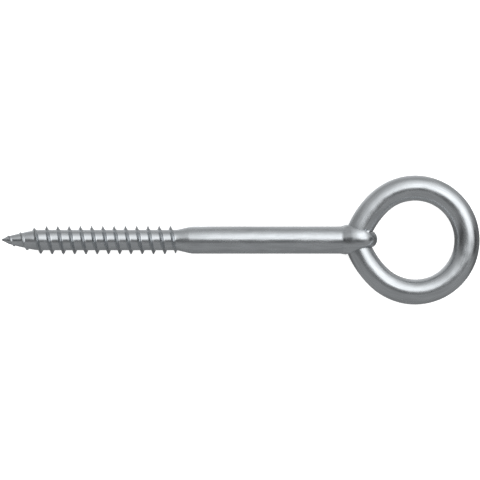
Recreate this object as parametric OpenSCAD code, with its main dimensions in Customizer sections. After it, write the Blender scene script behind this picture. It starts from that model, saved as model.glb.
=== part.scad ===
// Eye bolt with a wood-screw thread and a captive ring, in millimetres.
//
// The screw is one forged steel rod: a point, a rolled right-hand thread, a
// plain shank, and a tapered tongue that is hooked over the ring and closed on
// the back of the shoulder. The ring is a second piece of round wire: most of a
// circle, two flatter legs, and a tight bend that sits inside the hook.
//
// Frame: the object lies flat. The shank lies along X with the ring towards
// +X, the ring's plane is XY, and the origin is on the shank's axis at the
// shoulder where the hook starts.

/* [Shank] */
// Diameter of the plain shank
shank_d = 12; // [11.8:0.05:12.2]
// Length of the plain shank, from the neck to the hook's shoulder
shank_length = 67; // [20:0.5:200]
// Length of the cone between the thread's core and the shank
neck_length = 6; // [5:0.1:10]

/* [Thread] */
// Diameter over the thread's crests
thread_d = 12.5; // [12.1:0.05:12.5]
// Diameter of the thread's core
core_d = 9.1; // [8.8:0.05:9.6]
// Advance of the thread in one turn
pitch = 5; // [4.5:0.1:5.5]
// Length of the threaded end, point included
thread_length = 78; // [60:0.5:120]
// Length of the tapered point
point_length = 15.5; // [13:0.1:18]

/* [Ring] */
// Diameter of the ring's wire
wire_d = 11.2; // [10.6:0.1:11.2]
// Inside diameter of the ring
ring_inner_d = 34.8; // [34:0.2:38]
// Centre-line radius of the two legs between the circle and the hook
leg_r = 38; // [36:1:44]
// Half of the angle that the bend inside the hook turns through
bend_half = 24; // [22:1:26]
// Centre-line radius of the bend inside the hook
bend_r = 11; // [10.5:0.5:12]

/* [Hook] */
// Distance from the shoulder to the axis that the ring swings about
hinge_x = 6.65; // [6.5:0.05:6.8]
// Gap between the wire and the seat in the hook
ring_gap = 0.35; // [0.3:0.05:0.45]
// How far the ring swings to each side, in degrees
swing = 40; // [20:5:45]
// Outside radius of the hook, seen along the seat
hook_r = 8.55; // [8.4:0.05:8.8]
// Half-width of the tongue at its widest, just past the shoulder
tongue_root_w = 6.5; // [6.2:0.1:6.7]
// Half-width of the tongue on the far side of the wire
tongue_far_w = 3.9; // [3.5:0.1:4.2]
// Half-width of the tongue along the back of the hook
tongue_back_w = 3.4; // [3:0.1:3.6]
// Where the tongue's tip ends on the back, measured from the shoulder
tongue_tip_x = 0.3; // [0.2:0.1:1]

/* [Hidden] */

zinc = [0.63, 0.65, 0.67];

shank_r = shank_d / 2;
core_r = core_d / 2;
wire_r = wire_d / 2;
bore_r = wire_r + ring_gap;

// Stations along the shank; the shoulder is at x = 0
shank_x = -shank_length;
neck_x = shank_x - neck_length;
tip_x = neck_x - thread_length;
point_x = tip_x + point_length;

// The very tip is blunter than the rest of the point
nose_length = 3.7;
nose_r = 1.8;
nose_flat_r = 0.15;

// The hook's outline seen from the side is a circle about (hook_x, 0)
hook_x = 6.9;
hook_end_x = hook_x + hook_r;
crown_stretch = 1.25; // the hook's cross-section is wider than it is tall

// The shoulder steps up a little from the shank where the forging starts
shoulder_step = 0.25;
swell_r = shank_r + 0.6;

// The bend, the legs and the ring's circle are arcs that run on into each
// other, so each meets the next at one angle from the -X direction
ring_r = ring_inner_d / 2 + wire_r;
bend_x = hinge_x + bend_r;
leg_x = bend_x + (leg_r - bend_r) * cos(bend_half);
leg_y = (leg_r - bend_r) * sin(bend_half);
circle_half = asin(leg_y / (leg_r - ring_r));
ring_x = leg_x - (leg_r - ring_r) * cos(circle_half);

beyond = 12; // a length that is past every surface of the hook

function mix(a, b, t) = a + (b - a) * t;
function smooth(t) = let (u = min(1, max(0, t))) u * u * (3 - 2 * u);

// ---- Threaded end --------------------------------------------------------

ridge_height = (thread_d - core_d) / 2;
ridge_foot = 1.1; // half-width of the ridge at its foot
ridge_crest = 0.12; // half-width of the ridge at its crest
turn_steps = 24; // sections of the thread in one turn
point_stretch = 1.5; // extra advance over the point, where the pitch is longer
last_crest_x = neck_x - 3.1; // where the thread last passes the top
whole_turns = floor((last_crest_x - tip_x - point_stretch) / pitch);
fade_turn = whole_turns + (neck_x + 0.2 - last_crest_x) / pitch;
turns = whole_turns + (neck_x + 6.4 - last_crest_x) / pitch; // ends in the shank
thread_start_x = last_crest_x - whole_turns * pitch - point_stretch;

function rod_r(x) = lookup(x, [
  [tip_x, nose_flat_r],
  [tip_x + nose_length, nose_r],
  [point_x, core_r],
  [neck_x, core_r]
]);
function thread_x(t) = thread_start_x + pitch * t + point_stretch * smooth(t / 4);
function ridge_share(t) =
  min(smooth((t - 0.3) / 3.2), smooth((fade_turn - t) / 0.25));

// Foot, crest, crest and foot of the ridge, t turns from the start
function ridge_section(t) =
  let (
    share = ridge_share(t),
    width = mix(0.45, 1, share),
    profile = [
      [-ridge_foot * width, 0],
      [-ridge_crest * width, ridge_height * share],
      [ridge_crest * width, ridge_height * share],
      [ridge_foot * width, 0]
    ]
  ) [
    for (p = profile)
      let (x = thread_x(t) + p[0], r = rod_r(x) + p[1])
        [x, r * cos(360 * t), r * sin(360 * t)]
  ];

// Core and ridge as one skin: a strip that winds along the rod, with the gap
// to the next turn as its fourth side, closed by a fan at each end
module threaded_rod() {
  n = floor(turns * turn_steps);
  before_last = n - turn_steps;
  tip = 4 * (n + 1);
  inner = tip + 1;
  points = concat(
    [for (i = [0:n]) each ridge_section(i / turn_steps)],
    [[tip_x, 0, 0], [shank_x + neck_length / 2, 0, 0]]
  );
  ridge = [
    for (i = [0:n - 1], j = [0:2])
      let (a = 4 * i + j, b = a + 4)
        each [[a, a + 1, b + 1], [a, b + 1, b]]
  ];
  core = [
    for (i = [0:before_last - 1])
      let (a = 4 * i + 3, b = a + 4, c = 4 * (i + turn_steps), d = c + 4)
        each [[a, c, d], [a, d, b]]
  ];
  tip_fan = concat(
    [for (i = [0:turn_steps - 1]) [tip, 4 * i, 4 * i + 4]],
    [[tip, 3, 2], [tip, 2, 1], [tip, 1, 0], [tip, 4 * turn_steps, 3]]
  );
  inner_fan = concat(
    [for (i = [before_last:n - 1]) [inner, 4 * i + 7, 4 * i + 3]],
    [[inner, 4 * before_last + 3, 4 * n]],
    [for (j = [0:2]) [inner, 4 * n + j, 4 * n + j + 1]]
  );
  polyhedron(points, concat(ridge, core, tip_fan, inner_fan), convexity = 10);
}

// ---- Neck, shank and shoulder --------------------------------------------

module plain_shank() {
  bare = 0.9; // of the neck's length, where only the threaded core shows
  rotate([0, 90, 0])
    rotate_extrude($fn = 96)
      polygon([
        [0, neck_x + bare],
        [mix(core_r, shank_r, bare / neck_length), neck_x + bare],
        [shank_r, shank_x],
        [shank_r, 0],
        [shank_r + shoulder_step, 0.1],
        [swell_r, 1.6],
        [swell_r - 0.1, 2.4],
        [0, 2.4]
      ]);
}

// ---- Hook ----------------------------------------------------------------

// Outside of the hook before it is trimmed to the tongue's width: a cone that
// runs into a ball about (hook_x, 0)
module hook_blank() {
  root_r = shank_r + shoulder_step;
  cone_end = 3.2;
  ball_start = asin((hook_x - cone_end) / hook_r);
  ball_end = 87; // leaves a small flat on the far end
  ball_steps = 18;
  scale([1, crown_stretch, 1])
    rotate([0, 90, 0])
      rotate_extrude($fn = 96)
        polygon(concat(
          [[0, 0], [root_r, 0]],
          [
            for (i = [0:ball_steps])
              let (a = mix(-ball_start, ball_end, i / ball_steps))
                [hook_r * cos(a), hook_x + hook_r * sin(a)]
          ],
          [[0, hook_x + hook_r * sin(ball_end)]]
        ));
}

module mirrored_outline(rows) {
  polygon(concat(
    rows, [for (i = [len(rows) - 1:-1:0]) [rows[i][0], -rows[i][1]]]
  ));
}

// Front of the tongue, seen from above: broad shoulders, then a long taper
module front_outline() {
  root = tongue_root_w;
  far = tongue_far_w;
  mirrored_outline([
    [0, shank_r + shoulder_step],
    [0.9, root - 0.1],
    [2.2, root],
    [3.2, root - 0.25],
    [4.5, mix(root, far, 0.24)],
    [6.1, mix(root, far, 0.46)],
    [7.8, mix(root, far, 0.68)],
    [9.6, mix(root, far, 0.84)],
    [12.2, far + 0.1],
    [13.7, far - 0.1],
    [14.6, far - 0.75],
    [hook_end_x - 0.2, far - 1.9],
    [hook_end_x + 0.1, 0.8]
  ]);
}

// Back of the tongue, as wide as at its turn on the far side
module back_outline() {
  far = tongue_far_w;
  mirrored_outline([
    [0.5, tongue_back_w],
    [9, tongue_back_w + 0.1],
    [13.7, far - 0.1],
    [14.6, far - 0.75],
    [hook_end_x - 0.2, far - 1.9],
    [hook_end_x + 0.1, 0.8]
  ]);
}

// Tip of the tongue, closed down on the back of the shoulder
module tongue_tip() {
  tip_w = tongue_back_w - 0.2;
  inside = shank_r - 1; // a height that is inside the shoulder
  intersection() {
    rotate([90, 0, 0])
      linear_extrude(height = 4 * tongue_back_w, center = true)
        polygon([
          [hinge_x - 1, -bore_r],
          [hinge_x - 1, -hook_r + 0.2],
          [3, -hook_r + 0.6],
          [tongue_tip_x + 1.1, -hook_r + 0.95],
          [tongue_tip_x + 0.3, -hook_r + 1.4],
          [tongue_tip_x, -swell_r],
          [tongue_tip_x, -inside]
        ]);
    translate([0, 0, -beyond])
      linear_extrude(height = beyond)
        mirrored_outline([
          [tongue_tip_x, tip_w - 1.3],
          [tongue_tip_x + 0.5, tip_w - 0.5],
          [tongue_tip_x + 1.5, tip_w - 0.1],
          [hinge_x, tip_w]
        ]);
  }
}

module hook() {
  intersection() {
    hook_blank();
    union() {
      linear_extrude(height = beyond)
        front_outline();
      translate([0, 0, -beyond])
        linear_extrude(height = beyond + 0.5)
          back_outline();
    }
  }
  tongue_tip();
}

// Clearance for the wire, as far round the seat as the ring swings. Its
// outline is the inner edge of the bend and of both legs.
module wire_sweep() {
  tube_r = bore_r - 0.02;
  inner = bend_r - tube_r;
  leg_inner = leg_r - tube_r;
  leg_end = asin((beyond + leg_y) / leg_inner);
  edge = concat(
    [
      for (i = [1:5])
        let (a = bend_half * i / 5)
          [bend_r - inner * cos(a), inner * sin(a)]
    ],
    [
      for (i = [1:6])
        let (a = mix(bend_half, leg_end, i / 6))
          [leg_x - hinge_x - leg_inner * cos(a), leg_inner * sin(a) - leg_y]
    ]
  );
  last = len(edge) - 1;
  translate([hinge_x, 0, 0])
    rotate([90, 0, 0])
      rotate([0, 0, -swing])
        rotate_extrude(angle = 2 * swing, $fn = 96)
          polygon(concat(
            [[0, -beyond]],
            [for (i = [last:-1:0]) [edge[i][0], -edge[i][1]]],
            [[bend_r - inner, 0]],
            edge,
            [[0, beyond]]
          ));
}

// Clearance for the bend and the legs with the ring at one end of its swing
module swung_wire(angle) {
  tube_r = bore_r - 0.07;
  translate([hinge_x, 0, 0])
    rotate([0, angle, 0])
      translate([-hinge_x, 0, 0]) {
        bent_wire([bend_x, 0], bend_r, 180 - bend_half, 2 * bend_half, tube_r);
        leg(1, tube_r);
        leg(-1, tube_r);
      }
}

module screw() {
  color(zinc)
    difference() {
      union() {
        threaded_rod();
        plain_shank();
        hook();
      }
      // Seat of the wire, right through the hook
      translate([hinge_x, 0, 0])
        rotate([90, 0, 0])
          cylinder(r = bore_r, h = 2 * beyond, center = true, $fn = 96);
      wire_sweep();
      swung_wire(swing);
      swung_wire(-swing);
    }
}

// ---- Ring ----------------------------------------------------------------

// A length of wire bent about a point in the ring's plane
module bent_wire(centre, radius, start, sweep, r) {
  translate([centre[0], centre[1], 0])
    rotate([0, 0, start])
      rotate_extrude(angle = sweep, $fn = 96)
        translate([radius, 0])
          circle(r = r, $fn = 48);
}

// A leg, on the +Y side when side is 1 and on the other when it is -1
module leg(side, r) {
  lap = 0.6; // degrees that it runs on into the bends at both ends
  shave = 0.02; // and how much slimmer than they are it is
  turn = circle_half - bend_half + 2 * lap;
  start = 180 - circle_half - lap;
  bent_wire([leg_x, -side * leg_y], leg_r,
    side > 0 ? start : -start - turn, turn, r - shave);
}

module ring() {
  color(zinc) {
    bent_wire([ring_x, 0], ring_r, circle_half - 180, 360 - 2 * circle_half, wire_r);
    leg(1, wire_r);
    leg(-1, wire_r);
    bent_wire([bend_x, 0], bend_r, 180 - bend_half, 2 * bend_half, wire_r);
  }
}

screw();
ring();
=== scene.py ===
import math

import bpy
import mathutils
import numpy as np
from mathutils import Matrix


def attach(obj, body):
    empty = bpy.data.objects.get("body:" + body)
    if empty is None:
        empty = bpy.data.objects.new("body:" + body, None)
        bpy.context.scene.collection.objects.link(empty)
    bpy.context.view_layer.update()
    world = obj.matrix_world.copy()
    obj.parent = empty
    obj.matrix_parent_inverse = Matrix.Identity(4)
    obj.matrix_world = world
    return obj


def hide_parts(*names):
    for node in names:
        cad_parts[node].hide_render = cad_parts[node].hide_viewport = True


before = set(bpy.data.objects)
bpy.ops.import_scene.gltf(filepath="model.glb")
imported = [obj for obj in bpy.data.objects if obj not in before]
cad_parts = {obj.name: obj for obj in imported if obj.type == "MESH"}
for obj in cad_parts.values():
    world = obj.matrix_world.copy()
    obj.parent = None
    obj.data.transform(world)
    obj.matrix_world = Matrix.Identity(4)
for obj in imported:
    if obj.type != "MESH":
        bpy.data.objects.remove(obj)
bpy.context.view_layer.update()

# The shapes below are worked out in millimetres in the CAD's own frame, and
# become metres when a mesh is made.
MM = 0.001
TAU = 2 * math.pi

SHANK_R = 6.05
CORE_R = 4.55
TIP_X = -151.0
HINGE_X = 6.65
WIRE_R = 5.6
RING_R = 23.0
LEG_R = 38.0
BEND_R = 11.0
SWING = math.radians(40)
GAP = 0.3  # between the wire and its seat in the hook

# The ring's circle, its legs and the bend in the hook are arcs that run on into
# each other. Angles are measured from the -X direction.
BEND_HALF = math.radians(24)
BEND_X = HINGE_X + BEND_R
LEG_X = BEND_X + (LEG_R - BEND_R) * math.cos(BEND_HALF)
LEG_Y = (LEG_R - BEND_R) * math.sin(BEND_HALF)
CIRCLE_HALF = math.asin(LEG_Y / (LEG_R - RING_R))
RING_X = LEG_X - (LEG_R - RING_R) * math.cos(CIRCLE_HALF)


def smooth(t):
    t = np.clip(t, 0, 1)
    return t * t * (3 - 2 * t)


def profile(x, rows):
    """Value at x on the straight lines between rows of (x, value)."""
    return np.interp(x, *zip(*rows))


def make_object(name, vertices, faces):
    mesh = bpy.data.meshes.new(name)
    mesh.from_pydata((np.asarray(vertices) * MM).tolist(), [], faces)
    mesh.validate()
    mesh.update()
    piece = bpy.data.objects.new(name, mesh)
    bpy.context.collection.objects.link(piece)
    return piece


def wobble(points, seed, wavelength, count=10):
    """Smooth seeded unevenness, about -1 to 1, at points in millimetres."""
    rng = np.random.default_rng(seed)
    total = np.zeros(len(points))
    for _ in range(count):
        direction = rng.normal(size=3)
        direction *= TAU / wavelength / np.linalg.norm(direction)
        direction *= rng.uniform(0.6, 1.5)
        total += np.sin(points @ direction + rng.uniform(0, TAU))
    return total / math.sqrt(count)


# ---- Rod: point, thread, neck and shank in one skin ------------------------

CREST_H = 1.8
LAST_CREST = 14  # the thread's last pass over the top, counted in turns
LAST_CREST_X = -76.1
PITCH = 4.98
POINT_STRETCH = 2.0  # extra advance over the point, where the pitch is longer
FADE_TURN = 14.68  # where the ridge has run out into the neck
POINT_SHARE = 0.26  # of the ridge's full height, at the point
FLANK_POWER = 1.35  # above 1 the flanks are hollow
ANGLE_STEPS = 96
# Radius of the rod without its ridge, along the point, the core and the neck
BODY = [
    (TIP_X, 0.2), (-150.6, 0.42), (-149.3, 1.04), (-147.4, 1.82), (-145.5, 2.34),
    (-141, 3.38), (-137.2, 4.2), (-135.2, 4.5), (-133.5, CORE_R), (-73.6, CORE_R),
    (-72.6, 4.68), (-68.0, 5.78), (-67.0, 5.96), (-66.4, SHANK_R), (10, SHANK_R)]
# Where the lines of one turn run, as shares of the pitch from the crest
LINES = [0, 0.015, 0.03, 0.06, 0.09, 0.12, 0.15, 0.18, 0.22, 0.28, 0.36, 0.5,
         0.64, 0.72, 0.78, 0.82, 0.85, 0.88, 0.91, 0.94, 0.97, 0.985]
FIRST_TURN, LAST_TURN = -0.56, 15.6


def thread_x(s):
    return (LAST_CREST_X + PITCH * (s - LAST_CREST)
            - POINT_STRETCH * smooth((2.8 - s) / 2.3))


def ridge(share, s):
    """Height of the ridge at that share of the pitch from its crest, s turns
    from the start."""
    far = np.minimum(share, 1 - share) * PITCH
    grown = POINT_SHARE + (1 - POINT_SHARE) * smooth((s - 0.7) / 2.4)
    grown *= smooth((s + 0.3) / 0.5) * smooth((FADE_TURN - s) / 0.3)
    # The leading flank is a little fuller than the trailing one
    foot = np.where(share < 0.5, 1.0, 0.86) * (0.4 + 0.6 * grown)
    flank = np.clip(1 - (far - 0.05) / (foot - 0.05), 0, 1)
    return CREST_H * grown * flank ** FLANK_POWER


def rod_mesh():
    per_turn = len(LINES)
    first = math.floor(FIRST_TURN) * per_turn
    index = np.arange(first, (math.ceil(LAST_TURN) + 1) * per_turn)
    turn = index // per_turn + np.array(LINES)[index % per_turn]
    turn = turn[(turn >= FIRST_TURN) & (turn <= LAST_TURN)]
    share = turn % 1
    rows, n = len(turn), ANGLE_STEPS
    angle = np.arange(n) / n
    s = turn[:, None] + angle[None, :]
    x = thread_x(s)
    r = profile(x, BODY) + ridge(np.broadcast_to(share[:, None], s.shape), s)
    theta = TAU * np.broadcast_to(angle, s.shape)
    grid = np.stack([x, r * np.cos(theta), r * np.sin(theta)], -1)
    points = [grid.reshape(-1, 3)]

    def at(k, i):
        return k * n + i if i < n else (k + per_turn) * n

    faces = []
    for k in range(rows - 1):
        for i in range(n):
            if i + 1 == n and k + 1 + per_turn >= rows:
                continue
            faces.append((at(k, i), at(k, i + 1), at(k + 1, i + 1), at(k + 1, i)))

    # The column at angle 0 goes one turn further than the others. Past the
    # last row it has no partner, so extra vertices stand in for it.
    extra = {}
    count = rows * n
    for k in range(rows - 1 - per_turn, rows):
        s_end = turn[k] + 1
        px = thread_x(s_end)
        pr = profile(px, BODY) + ridge(share[k], s_end)
        if k + per_turn < rows:
            extra[k] = (k + per_turn) * n
        else:
            points.append(np.array([[px, float(pr), 0.0]]))
            extra[k] = count
            count += 1
    for k in range(rows - 1 - per_turn, rows - 1):
        faces.append((at(k, n - 1), extra[k], extra[k + 1], at(k + 1, n - 1)))

    # Close the point with a fan
    tip = count
    points.append(np.array([[TIP_X, 0.0, 0.0]]))
    count += 1
    for i in range(n - 1):
        faces.append((tip, i + 1, i))
    faces.append((tip, per_turn * n, n - 1))
    for k in range(per_turn):
        faces.append((tip, at(k, 0), at(k + 1, 0)))

    # Straight rings from the end of the helix to just past the shoulder
    stations = np.concatenate([[-56.5], np.linspace(-54, -2, 27), [-0.6, 0.02]])
    theta = TAU * angle
    rings = []
    for station in stations:
        ring_r = SHANK_R - 0.03 * smooth((station + 0.7) / 0.6)
        rings.append(np.stack([np.full(n, station), ring_r * np.cos(theta),
                               ring_r * np.sin(theta)], -1))
    base = count
    points.append(np.concatenate(rings))
    last = rows - 1
    for i in range(1, n - 1):
        faces.append((at(last, i), at(last, i + 1), base + i + 1, base + i))
    faces.append((at(last, n - 1), extra[last], base, base + n - 1))
    step = [extra[k] for k in range(last - per_turn, last + 1)]
    step = [last * n] + [v for v in step if v != last * n]
    for a, b in zip(step, step[1:]):
        faces.append((base + 1, b, a))
    faces.append((base + 1, base, step[-1]))
    faces.append((last * n, last * n + 1, base + 1))
    for j in range(len(stations) - 1):
        for i in range(n):
            a, b = base + j * n + i, base + j * n + (i + 1) % n
            faces.append((a, b, b + n, a + n))
    faces.append([base + (len(stations) - 1) * n + i for i in range(n)])
    return np.concatenate(points), faces


# ---- Hook: a solid given by a field, skinned with a surface net ------------

def smooth_max(a, b, k):
    h = np.clip(0.5 + 0.5 * (a - b) / k, 0, 1)
    return b + (a - b) * h + k * h * (1 - h)


def smooth_min(a, b, k):
    return -smooth_max(-a, -b, k)


def wire_distance(x, y, z):
    """Distance from the centre line of the wire near the hook, with the ring
    in its own plane."""
    y = np.abs(y)
    on_bend = np.hypot(np.hypot(BEND_X - x, y) - BEND_R, z)
    on_leg = np.hypot(np.hypot(LEG_X - x, y + LEG_Y) - LEG_R, z)
    return np.where(np.arctan2(y, BEND_X - x) > BEND_HALF, on_leg, on_bend)


# Edges of the tongue seen from the front, as the distance from the shank's
# axis at each distance past the shoulder: the +Y edge, then the -Y edge
EDGE_X = [-1, 0, 1.2, 2.6, 4.0, 5.7, 7.5, 9.0, 10.3, 12.2, 13.9, 16]
EDGE_TOP = [6.0, 6.1, 6.65, 6.95, 6.65, 6.05, 5.4, 4.9, 4.5, 3.95, 4.2, 3.9]
EDGE_LOW = [6.0, 6.05, 6.25, 6.15, 5.75, 4.95, 4.2, 3.65, 3.35, 3.2, 3.3, 3.0]


def hermite(t, start, start_slope, end, end_slope):
    return (start * (1 + 2 * t) * (1 - t) ** 2 + start_slope * t * (1 - t) ** 2
            + end * t * t * (3 - 2 * t) + end_slope * t * t * (t - 1))


BALL_X, BALL_R = 6.9, 8.5  # the hook's far side in side view
RISE_END = 4.6  # the front rises off the shank up to here
FRONT_END = 8.5  # and from here on it is the ball
# Radius that the tongue's cross-section is rounded to
CROWN = [(0, 6.5), (1.5, 7.6), (3.5, 8.6), (6, 7.6), (9, 7.2), (12, 5.2), (14.5, 4.2)]
# How far the tongue's highest line lies towards +Y
HIGH_LINE = [(0, -0.15), (3, -0.15), (6, 0.35), (9, 0.5), (12, 0.45), (15, 0.35)]
BACK_TOP, BACK_LOW = 3.7, 3.1  # the tongue's two edges along the back
SHOULDER = [(0, 6.15), (1.5, 6.4), (2.6, 6.3), (4, 5.8)]
SHOULDER_START = -0.42
TAIL_X = 0.35  # where the tongue's tip ends on the back
TAIL_Y = 0.2
TAIL_THICKNESS = [(0, 0.7), (0.9, 1.35), (2, 1.75), (4, 2.2), (6, 2.4)]
TAIL_HALF_WIDTH = [(0, 2.3), (1, 2.8), (2, 3.1), (6, 3.2)]


def front_height(x):
    """Height of the tongue's middle line over the front, up to FRONT_END."""
    rise = np.clip(x / RISE_END, 0, 1)
    top = np.clip((x - RISE_END) / (FRONT_END - RISE_END), 0, 1)
    return np.where(x < RISE_END, hermite(rise, 6.6, 1.8, 8.33, 0.8),
                    hermite(top, 8.33, 0.68, 8.348, -0.74))


def side_view(x, z):
    """The outline in side view: a rise off the shank that runs into a ball.
    The factors turn a height into a distance on a slope."""
    ball = np.hypot(x - BALL_X, z) - BALL_R
    cone = (-z - 6.2 - 0.46 * x) * 0.908
    back = np.where(x < 3.4, smooth_min(cone, ball, 0.4), ball)
    front = np.where(x < FRONT_END, (z - front_height(x)) * 0.93, ball)
    return np.where(z > 0, front, back)


def tongue(x, y, z):
    crown = profile(x, CROWN)
    off = np.minimum(np.abs(y - profile(x, HIGH_LINE)), crown * 0.98)
    body = side_view(x, z) + (crown - np.sqrt(crown ** 2 - off ** 2))
    back = smooth((-z - 1.5) / 3.0)
    top = np.interp(x, EDGE_X, EDGE_TOP) * (1 - back) + BACK_TOP * back
    low = np.interp(x, EDGE_X, EDGE_LOW) * (1 - back) + BACK_LOW * back
    return smooth_max(body, np.maximum(y - top, -y - low) * 0.95, 1.0)


def shoulder(x, y, z):
    """Goes on round the sides and the back of the shank's end."""
    swell = np.hypot(y, z) - profile(x, SHOULDER)
    swell += 0.9 * smooth((z - 0.5) / 3) - 0.02 * y
    return smooth_max(swell, x - 2.7, 1.4)


def tail(x, y, z):
    """Tip of the tongue, closed down on the back of the shoulder."""
    off = y - TAIL_Y
    body = smooth_max(-z - 6.0 - profile(x, TAIL_THICKNESS) + off ** 2 / 12,
                      np.abs(off) - profile(x, TAIL_HALF_WIDTH), 0.8)
    body = smooth_max(body, np.maximum(TAIL_X - x, x - 7), 0.6)
    return smooth_max(body, z + 5.4, 0.3)


def from_wire(x, y, z):
    """Distance from the wire's centre line at its nearest in the swing."""
    nearest = np.full(x.shape, 1e3)
    for a in np.linspace(-SWING, SWING, 9):
        swung_x = HINGE_X + (x - HINGE_X) * math.cos(a) + z * math.sin(a)
        swung_z = -(x - HINGE_X) * math.sin(a) + z * math.cos(a)
        nearest = np.minimum(nearest, wire_distance(swung_x, y, swung_z))
    return nearest


def hook_field(p):
    x, y, z = p[..., 0], p[..., 1], p[..., 2]
    body = smooth_min(tongue(x, y, z), shoulder(x, y, z), 0.6)
    body = smooth_max(body, SHOULDER_START - x, 0.12)
    body = smooth_min(body, tail(x, y, z), 0.35)
    # A burr on the tongue's upper edge, with a nick beside it
    burr = np.sqrt(((x - 11.0) / 1.7) ** 2 + (y - 3.85) ** 2 + (z - 5.85) ** 2) - 0.6
    nick = np.sqrt((x - 12.9) ** 2 + (y - 4.6) ** 2 + (z - 5.2) ** 2) - 0.9
    body = smooth_max(smooth_min(body, burr, 0.7), -nick, 0.3)
    # A stub inside the rod, so that the two overlap
    stub = smooth_max(np.hypot(y, z) - 5.7, np.maximum(-x - 1.5, x - 0.5), 0.2)
    body = smooth_min(body, stub, 0.01)
    return smooth_max(body, WIRE_R + GAP - from_wire(x, y, z), 0.3)


def surface_net(field, low, high, cell):
    """Vertices and quads of the zero surface of field, inside negative."""
    axes = [np.arange(a, b + cell, cell) for a, b in zip(low, high)]
    grid = np.stack(np.meshgrid(*axes, indexing="ij"), -1)
    value = field(grid)
    shape = np.array(value.shape) - 1
    total = np.zeros((*shape, 3))
    hits = np.zeros(shape)
    corners = [(i, j, k) for i in (0, 1) for j in (0, 1) for k in (0, 1)]

    def corner(c):
        return value[c[0]:c[0] + shape[0], c[1]:c[1] + shape[1], c[2]:c[2] + shape[2]]

    for a in corners:
        for axis in range(3):
            if a[axis]:
                continue
            b = tuple(v + (n == axis) for n, v in enumerate(a))
            va, vb = corner(a), corner(b)
            cross = (va < 0) != (vb < 0)
            t = np.where(cross, va / np.where(cross, va - vb, 1), 0)
            place = np.zeros((*shape, 3))
            for n in range(3):
                place[..., n] = a[n] + (t if n == axis else 0)
            total += place * cross[..., None]
            hits += cross
    used = hits > 0
    number = np.full(shape, -1)
    number[used] = np.arange(used.sum())
    cells = np.argwhere(used)
    points = np.array(low) + (cells + total[used] / hits[used][:, None]) * cell
    quads = []
    inside = value < 0
    for axis in range(3):
        u, v = [(1, 2), (2, 0), (0, 1)][axis]
        head = [slice(1, -1)] * 3
        head[axis] = slice(0, -1)
        ahead = list(head)
        ahead[axis] = slice(1, None)
        here, there = inside[tuple(head)], inside[tuple(ahead)]
        for flip in (False, True):
            edges = np.argwhere((here & ~there) if not flip else (~here & there))
            offset = np.ones(3, int)
            offset[axis] = 0
            edges = edges + offset
            ring = []
            for du, dv in ((-1, -1), (0, -1), (0, 0), (-1, 0)):
                c = edges.copy()
                c[:, u] += du
                c[:, v] += dv
                ring.append(number[c[:, 0], c[:, 1], c[:, 2]])
            quad = np.stack(ring, -1)
            quads.append(quad[:, ::-1] if flip else quad)
    # Two steps on to the exact surface
    probe = 0.02
    for _ in range(2):
        value = field(points)
        slope = np.stack([
            (field(points + d) - field(points - d)) / (2 * probe)
            for d in np.eye(3) * probe], -1)
        step = value / np.maximum((slope ** 2).sum(-1), 0.2)
        points = points - np.clip(step, -0.1, 0.1)[:, None] * slope
    return points, np.concatenate(quads).tolist()


# ---- Ring: a wire swept along its own centre line --------------------------

UNDERSIZE = 0.03  # keeps the uneven wire inside its nominal size


def ring_path(step=0.6):
    """Points along the closed centre line, evenly spaced, and slightly
    blended where one arc meets the next."""
    half = np.array(
        [(BEND_X - BEND_R * math.cos(a), BEND_R * math.sin(a))
         for a in np.linspace(0, BEND_HALF, 30)]
        + [(LEG_X - LEG_R * math.cos(a), LEG_R * math.sin(a) - LEG_Y)
           for a in np.linspace(BEND_HALF, CIRCLE_HALF, 60)[1:]]
        + [(RING_X - RING_R * math.cos(a), RING_R * math.sin(a))
           for a in np.linspace(CIRCLE_HALF, math.pi, 200)[1:]])
    whole = np.concatenate([half, (half * [1, -1])[-2:0:-1]])
    closed = np.vstack([whole, whole[:1]])
    length = np.concatenate([[0], np.cumsum(np.hypot(*np.diff(closed, axis=0).T))])
    count = int(round(length[-1] / step))
    at = np.linspace(0, length[-1], count, endpoint=False)
    path = np.stack([np.interp(at, length, closed[:, c]) for c in (0, 1)], -1)
    for _ in range(6):
        path = (np.roll(path, 1, 0) + 2 * path + np.roll(path, -1, 0)) / 4
    return path, at


def ring_mesh(sides=72):
    path, along = ring_path()
    tangent = np.roll(path, -1, 0) - np.roll(path, 1, 0)
    tangent /= np.linalg.norm(tangent, axis=1)[:, None]
    normal = np.stack([tangent[:, 1], -tangent[:, 0]], -1)
    phi = np.arange(sides) / sides * TAU
    r = np.full((len(path), sides), WIRE_R - UNDERSIZE)
    flat = path[:, None, :] + normal[:, None, :] * (r * np.cos(phi))[..., None]
    points = np.concatenate([flat, (r * np.sin(phi))[..., None]], -1).reshape(-1, 3)
    n = len(path)
    faces = []
    for k in range(n):
        for i in range(sides):
            j, m = (i + 1) % sides, (k + 1) % n
            faces.append((k * sides + i, m * sides + i, m * sides + j, k * sides + j))
    # Slightly uneven wire, as drawn and bent, with most of it inwards
    outward = points - np.repeat(np.concatenate([path, np.zeros((n, 1))], 1), sides, 0)
    outward /= np.linalg.norm(outward, axis=1)[:, None]
    rough = wobble(points, 5, 16) * 0.022 + wobble(points, 6, 6) * 0.008
    points = points + outward * np.minimum(rough, 0.02)[:, None]
    grain = np.stack([
        np.repeat(along, sides),
        np.tile(WIRE_R * np.cos(phi), n),
        np.tile(WIRE_R * np.sin(phi), n)], -1)
    return points, faces, grain


# ---- Zinc plating ----------------------------------------------------------

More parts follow.
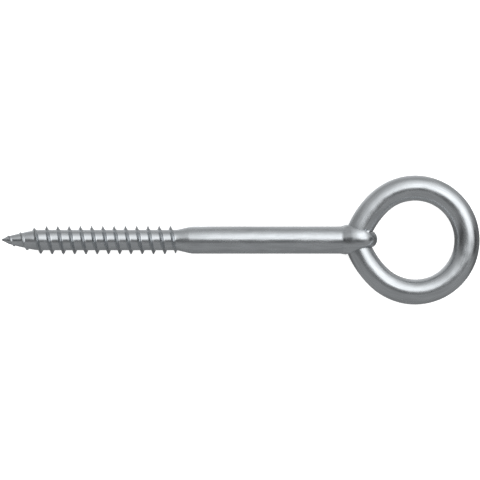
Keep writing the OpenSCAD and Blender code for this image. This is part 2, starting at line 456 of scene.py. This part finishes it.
class Nodes:
    """Adds nodes to a tree and links them, one short call each."""

    def __init__(self, tree):
        self.tree = tree
        tree.nodes.clear()

    def add(self, kind, inputs=None, **settings):
        node = self.tree.nodes.new(kind)
        for key, value in settings.items():
            setattr(node, key, value)
        for key, value in (inputs or {}).items():
            self.put(node.inputs[key], value)
        return node

    def put(self, socket, value):
        if isinstance(value, bpy.types.NodeSocket):
            self.tree.links.new(value, socket)
        else:
            socket.default_value = value

    def math(self, operation, a, b=0.0, clamp=False):
        node = self.add("ShaderNodeMath", {0: a, 1: b}, operation=operation)
        node.use_clamp = clamp
        return node.outputs[0]

    def noise(self, vector, scale, detail=3.0, rough=0.5):
        node = self.add("ShaderNodeTexNoise", {
            "Vector": vector, "Scale": scale, "Detail": detail, "Roughness": rough})
        return node.outputs["Fac"]

    def ramp(self, value, stops):
        node = self.add("ShaderNodeValToRGB", {"Fac": value})
        ramp = node.color_ramp
        while len(ramp.elements) < len(stops):
            ramp.elements.new(0.5)
        for element, (place, colour) in zip(ramp.elements, stops):
            element.position = place
            element.color = (*colour, 1)
        return node.outputs["Color"]

    def remap(self, value, a, b, c, d):
        node = self.add("ShaderNodeMapRange", {
            "Value": value, "From Min": a, "From Max": b, "To Min": c, "To Max": d})
        return node.outputs["Result"]

    def step_up(self, value, a, b):
        """0 up to a, 1 from b on, and the other way round where a is above b."""
        node = self.add("ShaderNodeMapRange", {
            "Value": value, "From Min": a, "From Max": b, "To Min": 0.0, "To Max": 1.0},
            interpolation_type="SMOOTHSTEP")
        return node.outputs["Result"]

    def times(self, *factors):
        product = factors[0]
        for factor in factors[1:]:
            product = self.math("MULTIPLY", product, factor)
        return product

    def plus(self, *terms):
        total = terms[0]
        for term in terms[1:]:
            total = self.math("ADD", total, term)
        return total

    def highest(self, *values):
        top = values[0]
        for value in values[1:]:
            top = self.math("MAXIMUM", top, value)
        return top


def zinc(name, grain_attribute, tint):
    """Satin zinc plating. The grain's first axis runs along the wire."""
    material = bpy.data.materials.new(name)
    material.use_nodes = True
    n = Nodes(material.node_tree)
    if grain_attribute:
        source = n.add("ShaderNodeAttribute", attribute_name=grain_attribute)
        place = source.outputs["Vector"]
    else:
        source = n.add("ShaderNodeTexCoord")
        place = source.outputs["Object"]
    streaky = n.add("ShaderNodeMapping", {"Vector": place, "Scale": (0.08, 1, 1)})
    lines = n.noise(streaky.outputs[0], 1300, 4.0, 0.65)
    soft = n.add("ShaderNodeMapping", {"Vector": place, "Scale": (0.22, 1, 1)})
    blotch = n.noise(soft.outputs[0], 480, 2.0, 0.5)
    wide = n.add("ShaderNodeMapping", {"Vector": place, "Scale": (0.7, 1, 1)})
    cloud = n.noise(wide.outputs[0], 210, 1.0)
    long_specks = n.add("ShaderNodeMapping", {"Vector": place, "Scale": (0.45, 1, 1)})
    specks = n.noise(long_specks.outputs[0], 1500, 2.0, 0.5)

    shade = n.math("ADD", n.math("MULTIPLY", blotch, 0.5),
                   n.math("MULTIPLY", lines, 0.5))
    colour = n.ramp(shade, [
        (0.32, tuple(c * 0.84 for c in tint)),
        (0.68, tuple(min(1, c * 1.11) for c in tint))])
    rough = n.remap(blotch, 0.3, 0.7, 0.2, 0.3)
    rough = n.math("ADD", rough, n.remap(cloud, 0.3, 0.7, -0.03, 0.03))
    rough = n.math("ADD", rough, n.remap(specks, 0.35, 0.65, -0.02, 0.02))

    height = n.math("ADD", n.math("MULTIPLY", lines, 0.006),
                    n.math("MULTIPLY", blotch, 0.028))
    height = n.math("ADD", height, n.math("MULTIPLY", cloud, 0.11))
    height = n.math("ADD", height, n.math("MULTIPLY", specks, 0.0015))
    bump = n.add("ShaderNodeBump", {
        "Height": height, "Strength": 1.0, "Distance": 0.001})
    shader = n.add("ShaderNodeBsdfPrincipled", {
        "Base Color": colour, "Metallic": 1.0, "Roughness": rough,
        "Normal": bump.outputs[0]})
    n.add("ShaderNodeOutputMaterial", {"Surface": shader.outputs[0]})
    return material


TINT = (0.645, 0.665, 0.683)
screw_zinc = zinc("screw_zinc", None, TINT)
ring_zinc = zinc("ring_zinc", "grain", TINT)


# ---- The two pieces --------------------------------------------------------

rod = make_object("screw", *rod_mesh())
HOOK_CELL = 0.2
hook = make_object("hook", *surface_net(
    hook_field, (-6.4, -8.2, -10.0), (16.8, 8.4, 10.0), HOOK_CELL))
join = rod.modifiers.new("join", "BOOLEAN")
join.operation = "UNION"
join.solver = "MANIFOLD"
join.object = hook
bpy.context.view_layer.update()
joined = bpy.data.meshes.new_from_object(
    rod.evaluated_get(bpy.context.evaluated_depsgraph_get()))
rod.modifiers.clear()
rod.data = joined
bpy.data.objects.remove(hook)

points, faces, grain = ring_mesh()
ring = make_object("ring", points, faces)
attribute = ring.data.attributes.new("grain", "FLOAT_VECTOR", "POINT")
attribute.data.foreach_set("vector", (grain * MM).ravel())


def crease(piece, degrees):
    piece.data.polygons.foreach_set("use_smooth", [True] * len(piece.data.polygons))
    piece.data.set_sharp_from_angle(angle=math.radians(degrees))
    piece.data.update()


crease(rod, 38)
crease(ring, 60)

for piece, node, material in ((rod, "screw", screw_zinc), (ring, "ring", ring_zinc)):
    piece.data.materials.clear()
    piece.data.materials.append(material)
    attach(piece, node)
    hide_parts(node)


# ---- Floor, light and camera ----------------------------------------------

FLOOR_Z = -8.9 * MM
FLOOR_HALF = 4
floor_mesh = bpy.data.meshes.new("floor")
floor_mesh.from_pydata(
    [(x * FLOOR_HALF, y * FLOOR_HALF, FLOOR_Z)
     for x, y in ((-1, -1), (1, -1), (1, 1), (-1, 1))],
    [], [(0, 1, 2, 3)])
floor = bpy.data.objects.new("floor", floor_mesh)
bpy.context.collection.objects.link(floor)
floor.visible_glossy = False


def floor_paper():
    material = bpy.data.materials.new("floor_paper")
    material.use_nodes = True
    n = Nodes(material.node_tree)
    place = n.add("ShaderNodeTexCoord").outputs["Object"]
    shade = n.ramp(n.noise(place, 60, 2.0), [
        (0.3, (0.86, 0.86, 0.86)), (0.7, (0.88, 0.88, 0.88))])
    shader = n.add("ShaderNodeBsdfPrincipled", {
        "Base Color": shade, "Roughness": 0.9, "Specular IOR Level": 0.0,
        "Emission Color": (1, 1, 1, 1), "Emission Strength": 0.62})
    n.add("ShaderNodeOutputMaterial", {"Surface": shader.outputs[0]})
    return material


floor.data.materials.append(floor_paper())


def area_light(name, place, target, size, power, glossy=True):
    light = bpy.data.lights.new(name, "AREA")
    light.shape = "RECTANGLE"
    light.size, light.size_y = size
    light.energy = power
    lamp = bpy.data.objects.new(name, light)
    bpy.context.collection.objects.link(lamp)
    lamp.location = place
    aim = (np.array(target) - np.array(place)).tolist()
    lamp.rotation_mode = "QUATERNION"
    lamp.rotation_quaternion = mathutils.Vector(aim).to_track_quat("-Z", "Y")
    lamp.visible_camera = False
    lamp.visible_glossy = glossy
    return lamp


area_light("floor_light", (-0.05, 0, 1.6), (-0.05, 0, 0), (2.4, 2.4), 26, glossy=False)


def studio_world():
    """The studio around the object, as brightness by direction. Each direction
    is named by the normal that mirrors it straight up: u across (+X), v along
    (+Y). A step_up pair says where a mask starts and where it is full."""
    world = bpy.data.worlds.new("studio")
    world.use_nodes = True
    n = Nodes(world.node_tree)
    direction = n.add("ShaderNodeTexCoord").outputs["Generated"]
    half = n.add("ShaderNodeVectorMath", {0: direction, 1: (0, 0, 1.0001)}, operation="ADD")
    half = n.add("ShaderNodeVectorMath", {0: half.outputs[0]}, operation="NORMALIZE")
    parts = n.add("ShaderNodeSeparateXYZ", {0: half.outputs[0]})
    u, v = parts.outputs["X"], parts.outputs["Y"]

    # A dim room, lighter above the far edge and towards the upper left
    upper_left = n.plus(n.times(u, -0.707), n.times(v, 0.707))
    room = n.plus(n.times(n.step_up(v, 0.45, 0.65), 0.09), 0.33,
                  n.times(n.step_up(v, 0.74, 1.02), 0.34),
                  n.times(n.step_up(upper_left, 0.72, 0.98), 0.34),
                  n.times(n.step_up(u, 0.86, 1.0), 0.12))
    # A softbox with a crisp near edge, which fades out to the left
    tilted = n.plus(v, n.times(n.math("MINIMUM", u, 0.2), 0.3))
    fade = n.math("POWER", n.remap(u, -0.62, 0.06, 0.0, 1.0), 2.0)
    softbox = n.times(n.step_up(tilted, -0.01, 0.1), n.step_up(v, 0.72, 0.22),
                      n.step_up(u, 0.66, 0.3), fade)
    # Dark corners of the room at both sides, joined by a dark line under the box
    band = n.times(n.step_up(v, -0.22, -0.1), n.step_up(v, 0.2, 0.06))
    far_left = n.times(n.step_up(u, -0.7, -0.56), n.step_up(u, -0.12, -0.34), band, 0.75)
    far_right = n.times(n.step_up(u, 0.48, 0.6), n.step_up(u, 0.84, 0.72), band, 0.8)
    under = n.times(n.step_up(v, -0.25, -0.17), n.step_up(tilted, 0.02, -0.06),
                    n.step_up(u, 0.4, 0.2), n.step_up(u, -0.3, -0.2), 0.5)
    low_rim = n.times(n.step_up(v, -0.6, -0.85), 0.16)
    # Steep faces to the left and right look out past the lights
    sides = n.times(n.step_up(n.times(u, u), 0.46, 0.62), n.step_up(v, -0.75, -0.5),
                    n.step_up(v, 0.45, 0.2), 0.5)
    dark = n.highest(far_left, far_right, under, low_rim, sides)
    level = n.times(n.plus(room, n.times(softbox, 1.3)), n.math("SUBTRACT", 1.0, dark))
    tone = n.add("ShaderNodeCombineColor", {
        0: n.math("MULTIPLY", level, 0.985), 1: level, 2: n.math("MULTIPLY", level, 1.01)})
    studio = n.add("ShaderNodeBackground", {"Color": tone.outputs[0], "Strength": 1.0})
    plain = n.add("ShaderNodeBackground", {"Color": (1, 1, 1, 1), "Strength": 1.0})
    ray = n.add("ShaderNodeLightPath")
    mixed = n.add("ShaderNodeMixShader", {
        0: ray.outputs["Is Camera Ray"], 1: studio.outputs[0], 2: plain.outputs[0]})
    n.add("ShaderNodeOutputWorld", {"Surface": mixed.outputs[0]})
    return world


bpy.context.scene.world = studio_world()
bpy.context.scene.view_settings.view_transform = "Standard"

# Straight down on the part, with the whole length just inside the picture
PICTURE_WIDTH = 212.3 * MM
CENTRE_X = -45.33 * MM
LENS, SENSOR = 200.0, 36.0
camera_data = bpy.data.cameras.new("camera")
camera_data.lens = LENS
camera_data.sensor_width = SENSOR
camera = bpy.data.objects.new("camera", camera_data)
bpy.context.collection.objects.link(camera)
camera.location = (CENTRE_X, 0, PICTURE_WIDTH * LENS / SENSOR)
camera.rotation_euler = (0, 0, 0)
camera_data.clip_start, camera_data.clip_end = 0.01, 20
bpy.context.scene.camera = camera
